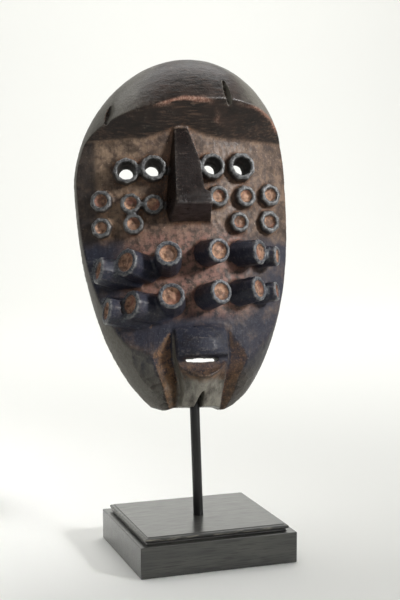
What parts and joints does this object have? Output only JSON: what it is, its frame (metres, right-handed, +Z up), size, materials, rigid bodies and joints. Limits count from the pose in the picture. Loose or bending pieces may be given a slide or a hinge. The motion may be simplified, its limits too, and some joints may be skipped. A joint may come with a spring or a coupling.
{
  "type": "grebo mask",
  "caption": "Carved wooden face mask with rows of tubular eyes and cups, a wedge nose and a slit mouth, on a rod and a moulded wooden base.",
  "frame": {"origin": "centre of the base's underside", "axes": "+Z up, the mask's face looks along -Y, +X is to the right of someone who looks at the face"},
  "size_m": [0.1827, 0.1427, 0.4046],
  "materials": {
    "carved_wood": "dark patinated hardwood, hand carved, polished by handling, worn reddish brown in the recesses",
    "rod_steel": "satin black paint",
    "base_wood": "blackened wood, satin varnish"
  },
  "bodies": {
    "root": {"mask": "carved_wood", "rod": "rod_steel", "base": "base_wood"}
  },
  "joints": []
}
